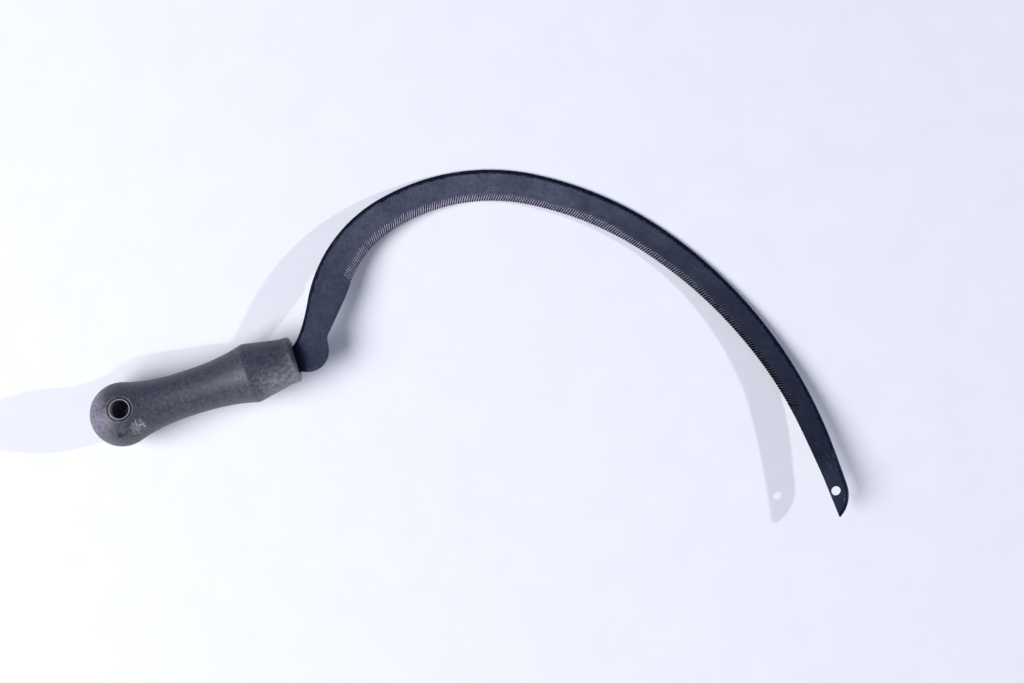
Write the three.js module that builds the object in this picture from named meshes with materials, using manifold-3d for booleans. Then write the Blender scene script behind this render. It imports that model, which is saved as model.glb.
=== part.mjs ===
// A serrated hand sickle: a toothed crescent blade whose barbed tang sits in a moulded
// handle with a ball end and a hanging hole.
//
// Millimetres. +X runs along the handle towards the blade and +Z is up. The sickle lies as
// it rests on a bench, on its ball end and on the back of the blade. Plan positions count
// from the centre of the ball end, except those named fromFace, which count from the
// handle's front face, so that the blade follows the handle's length.
import * as THREE from "three";
import { mergeVertices } from "three/addons/utils/BufferGeometryUtils.js";
import Module from "manifold-3d";

const wasm = await Module();
wasm.setup();

const { degToRad, lerp, clamp, smoothstep } = THREE.MathUtils;
const RIGHT_ANGLE = Math.PI / 2;

// --- driving dimensions ---------------------------------------------------------------

// Handle, turned about X.
const HANDLE_LENGTH = 116.8;
const BALL_RADIUS = 17.6;
const BALL_END_ANGLE = 72;
const WAIST_RADIUS = 12.4;
const WAIST_X = 38.5;
const SHOULDER_RADIUS = 16.7;
const SHOULDER_SLOPE = 0.3;
const SHOULDER_FROM_FACE = 25.7;
const COLLAR_OVER_FACE = 1.8;
const COLLAR_FROM_FACE = 5.4;
const FACE_WALL = 2.25;
const NOSE_LENGTH = 1.4;
const HANDLE_SIDES = 48;
const CURVE_STEPS = 8;

// Hanging hole, through the ball end.
const HANG_HOLE_RADIUS = 5.2;
const HANG_HOLE_FLARE = 1.6;
const HANG_HOLE_X = 2.6;
const HANG_HOLE_Y = 0.9;
const HANG_HOLE_SIDES = 32;

// Blade sheet.
const BLADE_THICKNESS = 1.5;
const BACK_BEVEL_WIDTH = 2.3;
const BACK_BEVEL_DROP = 0.35;
const GRIND_WIDTH = 5;
const EDGE_THICKNESS = 0.45;

// Back of the blade: arcs that join without a corner, from the heel to the point.
const BACK_START = { fromFace: 15.6, y: 28.1, heading: 63.5 };
const BACK_ARCS = [
  { radius: 80, length: 70 },
  { radius: 120, length: 90 },
  { radius: 203, length: 81 },
  { radius: 244, length: 152 },
  { radius: 900, length: 22.5 },
];
const POINT_ARC = { radius: 17.5, length: 19.4 };
const POINT_WIDTH = 0.8;
const POINT_THICKNESS = 0.9;
const POINT_STEPS = 8;

// Width of the blade, square to its back, at shares of the back's length.
const WIDTHS = [
  [0, 20.4],
  [0.12, 19.2],
  [0.32, 17.5],
  [0.6, 16.6],
  [0.74, 15.4],
  [0.86, 13.8],
  [0.93, 12.8],
  [1, 10.9],
];

// Teeth: vee grooves filed across the upper face at the inner edge.
const TEETH_START = 19.4;
const TEETH_END_FROM_POINT = 54;
const TOOTH_PITCH_HEEL = 1.24;
const TOOTH_PITCH_POINT = 1.54;
const GROOVE_SHARE_OF_PITCH = 0.88;
const GROOVE_DEPTH = 0.6;
const GROOVE_LENGTH_HEEL = 6;
const GROOVE_LENGTH = 3.8;
const LONG_GROOVE_RUN = 70;
const GROOVE_LEAN = 22;
const CUTTER_HEIGHT = 0.54;
const CUTTER_OVERRUN = 0.8;
const CUTTER_TAPER_SHARE = 0.85;

// Heel of the blade, in front of the handle.
const HEEL_BACK_LEAVES = { heading: 32, pull: 5.9 };
const HEEL_BACK_ARRIVES = { pull: 10.8 };
const HEEL_LOBE = { fromFace: 7.9, y: 1.9, radius: 11.5, from: -124, to: -5 };
const HEEL_NOTCH = { fromFace: 20.4, y: 6.6 };
const HEEL_NOTCH_BEND = { fromFace: 19.5, y: 4.1 };
const HEEL_STEP = { fromFace: 35.9, y: 23.8 };
const HEEL_BEVEL_START = 0.3;
const HEEL_STEP_LENGTH = 2.4;

// Tang and its socket in the handle.
const TANG_WIDTH = 14.7;
const TANG_OFFSET = -0.95;
const TANG_LENGTH = 58;
const TANG_BARE_LENGTH = 14;
const BARB_COUNT = 4;
const BARB_HEIGHT = 1.8;
const BARB_TAPER = 0.7;
const BARB_BACK_SHARE = 0.1;
const SOCKET_CLEARANCE = 0.45;

// Hole near the point.
const POINT_HOLE_RADIUS = 2.5;
const POINT_HOLE_FROM_BACK = 7;
const POINT_HOLE_PAST_BACK = 1.4;
const POINT_HOLE_SIDES = 28;

// Bow: the blade touches the bench behind its belly and both ends of it rise.
const BOW_LINES_HEADING = -37.3;
const BOW_RADIUS = 250;
const HEEL_BEND_LENGTH = 20;

// Length of one step along the blade's outline.
const STEP = 4;

const faceX = HANDLE_LENGTH - BALL_RADIUS;
// The front face leaves a wall round the socket, and the collar stands over the face.
const faceRadius = TANG_WIDTH / 2 + Math.abs(TANG_OFFSET) + SOCKET_CLEARANCE + FACE_WALL;
const collarRadius = faceRadius + COLLAR_OVER_FACE;

// --- solids -----------------------------------------------------------------------------

/** A manifold solid from a closed three.js geometry. */
function toSolid(geometry) {
  const bare = new THREE.BufferGeometry();
  bare.setAttribute("position", geometry.getAttribute("position"));
  bare.setIndex(geometry.getIndex());
  const merged = mergeVertices(bare, 1e-4);
  const corners = merged.getIndex().array;
  const kept = [];
  for (let i = 0; i < corners.length; i += 3) {
    const [a, b, c] = corners.slice(i, i + 3);
    if (a !== b && b !== c && c !== a) kept.push(a, b, c);
  }
  const vertProperties = new Float32Array(merged.getAttribute("position").array);
  const triVerts = new Uint32Array(kept);
  return new wasm.Manifold(new wasm.Mesh({ numProp: 3, vertProperties, triVerts }));
}

/** A three.js geometry from a manifold solid. */
function toGeometry(solid) {
  const { vertProperties, triVerts } = solid.getMesh();
  const geometry = new THREE.BufferGeometry();
  geometry.setAttribute("position", new THREE.BufferAttribute(vertProperties, 3));
  geometry.setIndex(new THREE.BufferAttribute(triVerts, 1));
  geometry.computeVertexNormals();
  return geometry;
}

/** A closed solid through sections that have the same number of corners. */
function loft(sections) {
  const corners = sections[0].length;
  const last = (sections.length - 1) * corners;
  const positions = sections.flat().flatMap((p) => p.toArray());
  const indices = [];
  for (let start = 0; start < last; start += corners) {
    for (let k = 0; k < corners; k += 1) {
      const [a, b] = [start + k, start + ((k + 1) % corners)];
      indices.push(a, b, b + corners, a, b + corners, a + corners);
    }
  }
  for (let k = 1; k < corners - 1; k += 1) {
    indices.push(0, k + 1, k, last, last + k, last + k + 1);
  }
  const geometry = new THREE.BufferGeometry();
  geometry.setAttribute("position", new THREE.Float32BufferAttribute(positions, 3));
  geometry.setIndex(indices);
  return geometry;
}

// --- blade outline, in plan -------------------------------------------------------------

/** Position and heading at a distance along a chain of arcs that turn clockwise. */
function alongArcs(start, arcs, distance) {
  let { x, y, heading } = start;
  let left = distance;
  for (const [i, arc] of arcs.entries()) {
    const run = i === arcs.length - 1 ? left : Math.min(left, arc.length);
    const end = heading - run / arc.radius;
    x -= arc.radius * (Math.sin(end) - Math.sin(heading));
    y += arc.radius * (Math.cos(end) - Math.cos(heading));
    heading = end;
    left -= run;
    if (left <= 0) break;
  }
  return { x, y, heading };
}

const backStart = {
  x: faceX + BACK_START.fromFace,
  y: BACK_START.y,
  heading: degToRad(BACK_START.heading),
};
const backLength = BACK_ARCS.reduce((sum, arc) => sum + arc.length, 0);
const teethEnd = backLength - TEETH_END_FROM_POINT;
const widthCurve = new THREE.SplineCurve(WIDTHS.map((w) => new THREE.Vector2(...w)));

/** Width of the blade at a distance along its back. */
function widthAt(distance) {
  const share = clamp(distance / backLength, 0, 1);
  const next = Math.max(1, WIDTHS.findIndex(([at]) => at >= share));
  const [[from], [to]] = [WIDTHS[next - 1], WIDTHS[next]];
  const t = (next - 1 + (share - from) / (to - from)) / (WIDTHS.length - 1);
  return widthCurve.getPoint(t).y;
}

/** The back and the inner edge, in plan, at a distance along the back. */
function acrossBlade(distance) {
  const { x, y, heading } = alongArcs(backStart, BACK_ARCS, distance);
  const inwards = new THREE.Vector2(Math.sin(heading), -Math.cos(heading));
  const outer = new THREE.Vector2(x, y);
  return { outer, inwards, inner: outer.clone().addScaledVector(inwards, widthAt(distance)) };
}

/** The line of the tooth tips along the inner edge. */
class ToothLine extends THREE.Curve {
  getPoint(t, target = new THREE.Vector2()) {
    return target.copy(acrossBlade(lerp(TEETH_START, teethEnd, t)).inner);
  }
}

const barbRun = (TANG_LENGTH - TANG_BARE_LENGTH) / BARB_COUNT;

/** The tang's edges, from its end inside the handle up to the front face. */
function tangStations() {
  const tangEnd = faceX - TANG_LENGTH;
  const edges = (x, halfWidth) => ({
    outer: new THREE.Vector2(x, TANG_OFFSET + halfWidth),
    inner: new THREE.Vector2(x, TANG_OFFSET - halfWidth),
    edge: BLADE_THICKNESS,
    bevel: 0,
  });
  const wide = TANG_WIDTH / 2;
  const stations = [];
  for (let i = 0; i < BARB_COUNT; i += 1) {
    const start = tangEnd + i * barbRun;
    const barb = wide - BARB_TAPER * (BARB_COUNT - i);
    stations.push(edges(start, barb - BARB_HEIGHT));
    stations.push(edges(start + barbRun * (1 - BARB_BACK_SHARE), barb));
  }
  stations.push(edges(faceX - TANG_BARE_LENGTH, wide));
  stations.push(edges(faceX - STEP, wide));
  return stations;
}

/** A point in plan that counts from the handle's front face. */
function fromFace(place) {
  return new THREE.Vector2(faceX + place.fromFace, place.y);
}

/** A step in plan in a direction given by its heading, in radians. */
function stepTowards(heading, length) {
  return new THREE.Vector2(Math.cos(heading), Math.sin(heading)).multiplyScalar(length);
}

/** The back of the heel, which curves up from the tang into the blade's back. */
function heelBack() {
  const start = new THREE.Vector2(faceX, TANG_OFFSET + TANG_WIDTH / 2);
  const end = fromFace(BACK_START);
  const leaving = stepTowards(degToRad(HEEL_BACK_LEAVES.heading), HEEL_BACK_LEAVES.pull);
  const arriving = stepTowards(backStart.heading, HEEL_BACK_ARRIVES.pull);
  const back = new THREE.CurvePath();
  back.add(new THREE.CubicBezierCurve(start, leaving.add(start), end.clone().sub(arriving), end));
  const steps = Math.round(TEETH_START / STEP);
  for (let i = 1; i <= steps; i += 1) {
    const from = alongArcs(backStart, BACK_ARCS, (TEETH_START * (i - 1)) / steps);
    const to = alongArcs(backStart, BACK_ARCS, (TEETH_START * i) / steps);
    back.add(new THREE.LineCurve(new THREE.Vector2(from.x, from.y), new THREE.Vector2(to.x, to.y)));
  }
  return back;
}

/** The front of the heel: a round lobe, a notch and the plain edge up to the first tooth. */
function heelFront() {
  const lobe = fromFace(HEEL_LOBE);
  const notch = fromFace(HEEL_NOTCH);
  const notchBend = fromFace(HEEL_NOTCH_BEND);
  const step = fromFace(HEEL_STEP);
  const firstTooth = acrossBlade(TEETH_START).inner;
  const front = new THREE.Path().moveTo(faceX, TANG_OFFSET - TANG_WIDTH / 2);
  front.absarc(lobe.x, lobe.y, HEEL_LOBE.radius, degToRad(HEEL_LOBE.from), degToRad(HEEL_LOBE.to), false);
  front.quadraticCurveTo(notchBend.x, notchBend.y, notch.x, notch.y);
  front.lineTo(step.x, step.y);
  front.lineTo(firstTooth.x, firstTooth.y);
  return front;
}

/** The heel, from the front face to the first tooth. */
function heelStations() {
  const back = heelBack();
  const front = heelFront();
  const count = Math.round(front.getLength() / HEEL_STEP_LENGTH);
  return Array.from({ length: count }, (_, i) => ({
    outer: back.getPointAt(i / count),
    inner: front.getPointAt(i / count),
    edge: BLADE_THICKNESS,
    bevel: smoothstep(i / count, HEEL_BEVEL_START, 1),
  }));
}

/** The toothed length and the plain length in front of it. */
function bladeStations() {
  const distances = [];
  const toothSteps = Math.round((teethEnd - TEETH_START) / STEP);
  for (let i = 0; i <= toothSteps; i += 1) {
    distances.push(lerp(TEETH_START, teethEnd, i / toothSteps));
  }
  const plainSteps = Math.round(TEETH_END_FROM_POINT / STEP);
  for (let i = 1; i <= plainSteps; i += 1) {
    distances.push(lerp(teethEnd, backLength, i / plainSteps));
  }
  return distances.map((distance) => {
    const ground = smoothstep(distance, TEETH_START - STEP, TEETH_START + STEP);
    return {
      ...acrossBlade(distance),
      edge: lerp(BLADE_THICKNESS, EDGE_THICKNESS, ground),
      bevel: 1,
    };
  });
}

/** The rounded back of the point; the inner edge runs on straight. */
function pointStations(innerStart) {
  const from = alongArcs(backStart, BACK_ARCS, backLength);
  const tip = alongArcs(from, [POINT_ARC], POINT_ARC.length);
  const inwards = new THREE.Vector2(Math.sin(tip.heading), -Math.cos(tip.heading));
  const innerEnd = new THREE.Vector2(tip.x, tip.y).addScaledVector(inwards, POINT_WIDTH);
  return Array.from({ length: POINT_STEPS }, (_, i) => {
    const share = (i + 1) / POINT_STEPS;
    const { x, y } = alongArcs(from, [POINT_ARC], POINT_ARC.length * share);
    return {
      outer: new THREE.Vector2(x, y),
      inner: innerStart.clone().lerp(innerEnd, share),
      edge: lerp(EDGE_THICKNESS, POINT_THICKNESS, share),
      bevel: lerp(1, 0.5, share),
    };
  });
}

const bladeRun = bladeStations();
const stations = [
  ...tangStations(),
  ...heelStations(),
  ...bladeRun,
  ...pointStations(bladeRun.at(-1).inner),
];

// --- how the blade lies -----------------------------------------------------------------

const acrossBow = new THREE.Vector2(1, 0)
  .rotateAround(new THREE.Vector2(), degToRad(BOW_LINES_HEADING) - RIGHT_ANGLE);

/** Distance across the bow; the heel bends gently out of the handle's axis. */
function bowDistance(x, y) {
  const ahead = Math.max(0, x - faceX);
  const bend = HEEL_BEND_LENGTH;
  const run = ahead < bend ? ahead ** 2 / (2 * bend) : ahead - bend / 2;
  return acrossBow.dot(new THREE.Vector2(faceX + run, y));
}

const axisHeight = Math.max(BALL_RADIUS, SHOULDER_RADIUS);
const touchDistance = Math.min(...stations.map(({ outer }) => bowDistance(outer.x, outer.y)));
const neckRun = bowDistance(faceX, 0) - touchDistance;
const neckRise = axisHeight - BLADE_THICKNESS / 2;
const bowSlope = (neckRun - Math.sqrt(neckRun ** 2 - 2 * BOW_RADIUS * neckRise)) / BOW_RADIUS;

/** Height of the sheet's middle plane above the bench. */
function liftAt(x, y) {
  const run = bowDistance(x, y) - touchDistance;
  const curved = BOW_RADIUS * bowSlope;
  const rise = run < curved ? run ** 2 / (2 * BOW_RADIUS) : bowSlope * (run - curved / 2);
  return BLADE_THICKNESS / 2 + rise;
}

/** A point of the flat sheet, in its place on the bowed one. */
function onSheet(plan, height) {
  return new THREE.Vector3(plan.x, plan.y, height + liftAt(plan.x, plan.y));
}

// The tang lies in the sheet's plane, so the handle is rolled about X to match.
const handleRoll = Math.atan(bowSlope * acrossBow.y);

// --- blade ------------------------------------------------------------------------------

/** Section of the sheet: bevelled back, flat upper face, ground underside at the edge. */
function bladeSection({ outer, inner, edge, bevel }) {
  const width = outer.distanceTo(inner);
  const at = (fromBack) => outer.clone().lerp(inner, fromBack / width);
  const top = BLADE_THICKNESS / 2;
  const bevelEnd = at(Math.min(BACK_BEVEL_WIDTH, width * 0.4));
  const grindStart = at(width - Math.min(GRIND_WIDTH, width * 0.4));
  return [
    onSheet(outer, top - BACK_BEVEL_DROP * bevel),
    onSheet(bevelEnd, top),
    onSheet(inner, top),
    onSheet(inner, top - edge),
    onSheet(grindStart, -top),
    onSheet(outer, -top),
  ];
}

/** One vee cutter, pointed where its groove runs out on the upper face. */
function grooveCutter(edgePoint, along, pitch, length) {
  const into = new THREE.Vector2(-along.y, along.x)
    .rotateAround(new THREE.Vector2(), -degToRad(GROOVE_LEAN));
  const halfWidth = (pitch * GROOVE_SHARE_OF_PITCH) / 2;
  const top = BLADE_THICKNESS / 2;
  const section = (fromEdge) => {
    const depth = GROOVE_DEPTH * (1 - fromEdge / length);
    const centre = edgePoint.clone().addScaledVector(into, fromEdge);
    const reach = (halfWidth * (depth + CUTTER_HEIGHT)) / GROOVE_DEPTH;
    return [
      onSheet(centre.clone().addScaledVector(along, -reach), top + CUTTER_HEIGHT),
      onSheet(centre.clone().addScaledVector(along, reach), top + CUTTER_HEIGHT),
      onSheet(centre, top - depth),
    ];
  };
  const pastGroove = (length * CUTTER_TAPER_SHARE * CUTTER_HEIGHT) / GROOVE_DEPTH;
  return toSolid(loft([section(-CUTTER_OVERRUN), section(length + pastGroove)]));
}

/** The cutters of every tooth gap, closer together at the heel than at the point. */
function grooveCutters() {
  const line = new ToothLine();
  const length = line.getLength();
  const cutters = [];
  let distance = 0;
  while (distance < length) {
    const share = distance / length;
    const pitch = lerp(TOOTH_PITCH_HEEL, TOOTH_PITCH_POINT, share);
    const long = 1 - smoothstep(distance, 0, LONG_GROOVE_RUN);
    const groove = lerp(GROOVE_LENGTH, GROOVE_LENGTH_HEEL, long);
    cutters.push(grooveCutter(line.getPointAt(share), line.getTangentAt(share), pitch, groove));
    distance += pitch;
  }
  return cutters;
}

/** The hole near the point, square to the bench. */
function pointHoleCutter() {
  const { outer, inwards } = acrossBlade(backLength);
  const onwards = new THREE.Vector2(-inwards.y, inwards.x);
  const centre = outer.clone().addScaledVector(inwards, POINT_HOLE_FROM_BACK);
  centre.addScaledVector(onwards, POINT_HOLE_PAST_BACK);
  const hole = new THREE.CylinderGeometry(
    POINT_HOLE_RADIUS,
    POINT_HOLE_RADIUS,
    4 * BLADE_THICKNESS,
    POINT_HOLE_SIDES,
  );
  hole.rotateX(RIGHT_ANGLE);
  hole.translate(centre.x, centre.y, liftAt(centre.x, centre.y));
  return toSolid(hole);
}

function makeBlade() {
  const sheet = toSolid(loft(stations.map(bladeSection)));
  const toothed = sheet.subtract(wasm.Manifold.union(grooveCutters()));
  const lacquer = new THREE.MeshStandardMaterial({ color: 0x3a4250, roughness: 0.45, metalness: 0.6 });
  const blade = new THREE.Mesh(toGeometry(toothed.subtract(pointHoleCutter())), lacquer);
  blade.name = "blade";
  return blade;
}

// --- handle -----------------------------------------------------------------------------

/** Outline of the handle: ball end, waist, shoulder and the cone down to its front face. */
function handleProfile() {
  const ballEnd = degToRad(BALL_END_ANGLE);
  const leave = stepTowards(ballEnd, BALL_RADIUS);
  const outline = new THREE.Path();
  outline.absarc(0, 0, BALL_RADIUS, Math.PI, ballEnd, true);
  const fall = (WAIST_X - leave.x) / 3;
  outline.bezierCurveTo(
    leave.x + fall, leave.y - fall / Math.tan(ballEnd),
    WAIST_X - fall, WAIST_RADIUS,
    WAIST_X, WAIST_RADIUS,
  );
  const shoulderX = faceX - SHOULDER_FROM_FACE;
  const rise = (shoulderX - WAIST_X) / 3;
  outline.bezierCurveTo(
    WAIST_X + rise, WAIST_RADIUS,
    shoulderX - rise, SHOULDER_RADIUS - rise * SHOULDER_SLOPE,
    shoulderX, SHOULDER_RADIUS,
  );
  const collarX = faceX - COLLAR_FROM_FACE;
  outline.lineTo(collarX, collarRadius);
  outline.lineTo(faceX - NOSE_LENGTH, collarRadius);
  outline.quadraticCurveTo(faceX, collarRadius, faceX, faceRadius);
  outline.lineTo(faceX, 0);
  return outline.getPoints(CURVE_STEPS).map(({ x, y }) => new THREE.Vector2(Math.max(0, y), x));
}

/** The hanging hole with a flare at each mouth. */
function hangHoleCutter() {
  const mouth = Math.sqrt(BALL_RADIUS ** 2 - (HANG_HOLE_RADIUS + HANG_HOLE_FLARE) ** 2);
  const throat = mouth - HANG_HOLE_FLARE;
  const past = BALL_RADIUS + HANG_HOLE_FLARE;
  const wide = HANG_HOLE_RADIUS + HANG_HOLE_FLARE + (past - mouth) / 2;
  const outline = [
    [0, -past],
    [wide, -past],
    [HANG_HOLE_RADIUS + HANG_HOLE_FLARE, -mouth],
    [HANG_HOLE_RADIUS, -throat],
    [HANG_HOLE_RADIUS, throat],
    [HANG_HOLE_RADIUS + HANG_HOLE_FLARE, mouth],
    [wide, past],
    [0, past],
  ];
  const hole = new THREE.LatheGeometry(outline.map((p) => new THREE.Vector2(...p)), HANG_HOLE_SIDES);
  hole.rotateX(RIGHT_ANGLE);
  hole.translate(HANG_HOLE_X, HANG_HOLE_Y, 0);
  return toSolid(hole);
}

/** The slot that holds the tang, open at the front face. */
function socketCutter() {
  const length = TANG_LENGTH + 2 * SOCKET_CLEARANCE;
  const slot = new THREE.BoxGeometry(
    2 * length,
    TANG_WIDTH + 2 * SOCKET_CLEARANCE,
    BLADE_THICKNESS + 2 * SOCKET_CLEARANCE,
  );
  slot.translate(faceX + length - TANG_LENGTH - SOCKET_CLEARANCE, TANG_OFFSET, 0);
  return toSolid(slot);
}

function makeHandle() {
  const turned = new THREE.LatheGeometry(handleProfile(), HANDLE_SIDES);
  turned.rotateZ(-RIGHT_ANGLE);
  const solid = toSolid(turned).subtract(hangHoleCutter()).subtract(socketCutter());
  const plastic = new THREE.MeshStandardMaterial({ color: 0x4d4f57, roughness: 0.7, metalness: 0 });
  const handle = new THREE.Mesh(toGeometry(solid), plastic);
  handle.name = "handle";
  handle.rotation.x = handleRoll;
  handle.position.z = axisHeight;
  return handle;
}

// --- the sickle, with its origin under the middle of its box ----------------------------

const sickle = new THREE.Group();
sickle.add(makeBlade(), makeHandle());
sickle.updateMatrixWorld(true);
const box = new THREE.Box3().setFromObject(sickle, true);
const middle = box.getCenter(new THREE.Vector3());
sickle.position.set(-middle.x, -middle.y, -box.min.z);

export default sickle;
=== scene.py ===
"""A serrated hand sickle: a worn, lacquered blade with filed teeth, and a moulded handle.

Design sizes are in millimetres. They count from the centre of the handle's ball end, with +X along
the handle, and MM turns them into the metres of the frame. Only the lamps' sizes are in metres.
"""

import math

import bpy
import numpy as np
from mathutils import Matrix, Vector
from mathutils.kdtree import KDTree


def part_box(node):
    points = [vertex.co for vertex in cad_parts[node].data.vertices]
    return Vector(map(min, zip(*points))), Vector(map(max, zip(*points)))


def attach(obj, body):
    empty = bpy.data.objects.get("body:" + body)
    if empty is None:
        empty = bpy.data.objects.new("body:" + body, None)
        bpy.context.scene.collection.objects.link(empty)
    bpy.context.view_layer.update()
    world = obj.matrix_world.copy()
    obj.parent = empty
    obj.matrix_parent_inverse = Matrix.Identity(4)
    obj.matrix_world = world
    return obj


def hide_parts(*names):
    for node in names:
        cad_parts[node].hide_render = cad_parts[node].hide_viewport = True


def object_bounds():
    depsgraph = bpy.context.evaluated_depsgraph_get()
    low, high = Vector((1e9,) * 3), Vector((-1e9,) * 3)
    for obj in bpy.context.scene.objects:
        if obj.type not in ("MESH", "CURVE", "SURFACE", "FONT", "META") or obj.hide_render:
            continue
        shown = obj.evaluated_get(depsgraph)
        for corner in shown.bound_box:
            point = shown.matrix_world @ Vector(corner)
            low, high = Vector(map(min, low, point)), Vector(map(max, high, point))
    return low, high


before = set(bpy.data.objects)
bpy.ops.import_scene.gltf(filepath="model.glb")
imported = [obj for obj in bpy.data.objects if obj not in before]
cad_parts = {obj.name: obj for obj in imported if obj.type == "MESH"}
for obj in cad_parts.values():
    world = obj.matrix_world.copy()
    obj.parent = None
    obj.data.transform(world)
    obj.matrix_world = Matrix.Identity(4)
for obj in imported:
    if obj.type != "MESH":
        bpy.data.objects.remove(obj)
cad_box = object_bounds()

MM = 0.001

# --- places that come from the frame --------------------------------------------------------

BALL_RADIUS = 17.6
handle_low, handle_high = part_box("handle")
ball_centre = Vector((
    handle_low.x + BALL_RADIUS * MM,
    (handle_low.y + handle_high.y) / 2,
    cad_box[0][2] + BALL_RADIUS * MM,
))
FACE = (handle_high.x - ball_centre.x) / MM

# --- handle ---------------------------------------------------------------------------------

BALL_END_ANGLE = 72
WAIST = (38.5, 12.4)
SHOULDER = (FACE - 25.7, 16.7)
SHOULDER_SLOPE = 0.3
SHOULDER_ROUNDING = 0.5
SHOULDER_EASING = 0.1
CONE_END = (FACE - 5.8, 12.85)
LIP_END = (FACE - 1.5, 12.75)
LIP_PULL = 0.8
NOSE_PULLS = (0.6, 0.9)
FACE_RADIUS = 11
FACE_INSET = 0.1
FACE_DISHING = 0.25
FACE_RINGS = (8, 6, 4, 2, 0.4)
PROFILE_STEP = 0.45
HANDLE_SIDES = 176
PARTING_RIDGE = 0.07
PARTING_WIDTH = 0.3
PARTING_ANGLES = (-1.6, -0.9, -0.45, 0.45, 0.9, 1.6)

HANG_HOLE_X = 2.6
HANG_HOLE_Y = 0.9
HANG_HOLE_RADIUS = 5.05
HANG_HOLE_SIDES = 96
MOUTH_RING_RADIUS = 5.5
MOUTH_RING_ROUNDING = 0.32
MOUTH_GROOVE_RADIUS = 6.35
MOUTH_GROOVE_DEPTH = 0.95
MOUTH_RING_DROP = 0.35
MOUTH_RADIUS = 6.75
MOUTH_ROUNDING = 0.5
MOUTH_OVERCUT = 0.6
MOUTH_OVERCUT_RISES = (0.25, 2)
RING_WALL_LEAN = 0.05
HOLE_OVERCUT = 8

# --- blade ----------------------------------------------------------------------------------

BLADE_THICKNESS = 1.5
BACK_START = (FACE + 15.6, 28.1)
BACK_HEADING = math.radians(63.5)
BACK_ARCS = ((80, 70), (120, 90), (203, 81), (244, 152), (900, 22.5))
BACK_LENGTH = sum(length for _, length in BACK_ARCS)
POINT_ARC = (17.5, 19.4)
POINT_WIDTH = 0.8
WIDTHS = (
    (0, 20.4), (0.12, 19.2), (0.32, 17.5), (0.6, 16.6),
    (0.74, 15.4), (0.86, 13.8), (0.93, 12.8), (1, 10.9),
)
BEVEL_WIDTH = 2.3
BEVEL_DROP = 0.35
CREASE_ROUNDING = 0.3
CREASE_DROP = 0.006
EDGE_ROUNDING = 0.2
EDGE_ROUNDING_SHARE = 0.3
BEVEL_START = 15
BEVEL_SHARE = 0.3
GRIND_WIDTH = 5
GRIND_SHARE = 0.4
GRIND_FADE = (-5, 3)
EDGE_THICKNESS = 0.42
POINT_EDGE_GAIN = 0.4
EDGE_LEFT_IN_GROOVE = 0.08
EDGE_FACE_LEFT = 0.02

TEETH_START = 19.4
TEETH_END = BACK_LENGTH - 54
PITCHES = (1.24, 1.54)
GROOVE_DEPTH = 0.55
GROOVE_FALL = 1.5
GROOVE_PHASES = (0, 0.08, 0.3, 0.5, 0.56, 0.78)
GROOVE_FACETS = (0, 1, 1, 1, 0, 0)
GROOVE_BOTTOM_PHASE = 0.53
GROOVE_HALF_PHASE = 0.45
GROOVE_LENGTHS = (
    (0, 5.6), (0.25, 4.4), (0.42, 3.3), (0.49, 4.9),
    (0.53, 4.7), (0.56, 3.5), (0.97, 4), (1, 6.6),
)
GROOVE_SHARE = 0.42
GROOVE_LEANS = ((0, 20), (0.9, 23), (1, 36))
GROOVE_VARIATION = 0.05
LEAN_FADE = 7
LEAN_REACH = 1.15
LEANING_SHARE = 0.4

# Rows of the sheet's section, as shares of the run that each set divides.
GROOVE_ROWS = (0, 0.08, 0.2, 0.36, 0.52, 0.68, 0.82, 0.92, 1)
PLAIN_ROWS = (0.06, 0.2, 0.4, 0.6, 0.8, 0.94)
UNDERSIDE_ROWS = (0.15, 0.4, 0.65, 0.9)
GRIND_ROWS = (0.98, 0.75, 0.5, 0.25, 0.1)
MID_ROUNDING = 0.3

HEEL_RUN = 60
HEEL_BACK_LEAVES = (32, 5.9)
HEEL_BACK_ARRIVES = 10.8
HEEL_LOBE = (FACE + 7.9, 1.9)
HEEL_LOBE_RADIUS = 11.5
HEEL_LOBE_ANGLES = (-124, -5)
HEEL_NOTCH = (FACE + 20.4, 6.6)
HEEL_NOTCH_BEND = (FACE + 19.5, 4.1)
HEEL_STEP = (FACE + 35.9, 23.8)

TANG_WIDTH = 14.7
TANG_OFFSET = -0.95
TANG_LENGTH = 58
TANG_BARE_LENGTH = 14
BARB_COUNT = 4
BARB_HEIGHT = 1.8
BARB_TAPER = 0.7
BARB_SLOPE_SHARE = 0.9
SLOT_CLEARANCE = 0.06
SLOT_OVERCUT = 5

POINT_HOLE_RADIUS = 2.5
POINT_HOLE_FROM_BACK = 7
POINT_HOLE_PAST_BACK = 1.4
POINT_HOLE_CHAMFER = 0.1
POINT_HOLE_SIDES = 64
POINT_HOLE_OVERCUT = 2

BOW_LINES_HEADING = -37.3
BOW_RADIUS = 250
HEEL_BEND = 20

# --- wear, and painted light and shade ------------------------------------------------------

# Ranges of the station along the blade.
HEEL_SHEEN_AND_WEAR = (-100, 80)
POINT_SHEEN_AND_WEAR = (430, 125)
TIP_WEAR = (396, 408)
SCRATCHED_PATCH = (386, 396, 408, 417)
# The painted highlight on the teeth's flanks fades over this range.
LIT_FLANK_FADE = (200, 340)

# Distances from the collar, and from the back of the blade with its ragged part added.
# The painted shade beside the collar fades out over this range.
COLLAR_SHADE_RUN = (1, 6)
SPINE_WIDTH = (3.2, 4.2)
SPINE_RAGGEDNESS = 3.2

# Distance from the edge that a slanting scratch gains for each millimetre along the blade.
SCRATCH_SLANT = 0.27

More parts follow.
